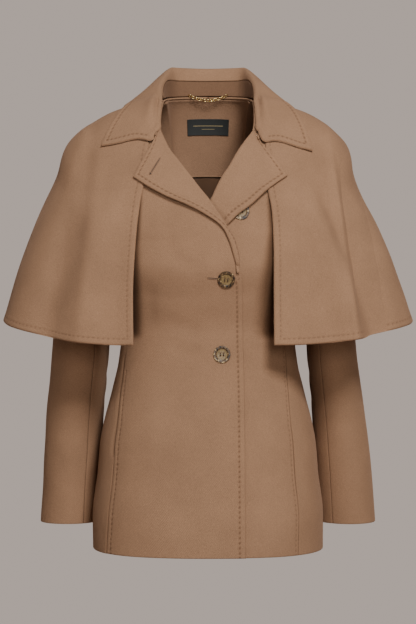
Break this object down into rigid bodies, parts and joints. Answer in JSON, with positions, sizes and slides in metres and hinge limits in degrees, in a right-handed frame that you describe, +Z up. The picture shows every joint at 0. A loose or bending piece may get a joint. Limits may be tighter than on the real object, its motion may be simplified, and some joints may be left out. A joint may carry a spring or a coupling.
{
  "type": "wool jacket with shoulder capelet",
  "caption": "Fitted single-breasted wool jacket with notched lapels and an attached elbow-length capelet, hollow as worn, open at neck, hem and cuffs.",
  "frame": {"origin": "midway between the two points where the shoulder seams meet the neck", "axes": "+Z up, the garment's front faces -Y, +X towards the wearer's left"},
  "size_m": [0.6121, 0.3285, 0.7272],
  "materials": {
    "wool": "matt brushed camel wool",
    "facing_wool": "matt brown wool",
    "satin": "soft satin lining",
    "label_cloth": "fine woven",
    "gold": "polished",
    "horn": "mottled tortoiseshell"
  },
  "bodies": {
    "root": {"front_right": "wool", "side_front_right": "wool", "back_right": "wool", "sleeve_upper_right": "wool", "sleeve_under_right": "wool", "cape_right": "wool", "lapel_right": "wool", "front_left": "wool", "side_front_left": "wool", "back_left": "wool", "sleeve_upper_left": "wool", "sleeve_under_left": "wool", "cape_left": "wool", "lapel_left": "wool", "collar": "wool", "collar_stand": "facing_wool", "back_facing": "facing_wool", "facing_piping": "facing_wool", "back_lining": "satin", "label": "label_cloth", "hanger_chain": "gold", "button_top": "horn", "button_middle": "horn", "button_lower": "horn"}
  },
  "joints": []
}
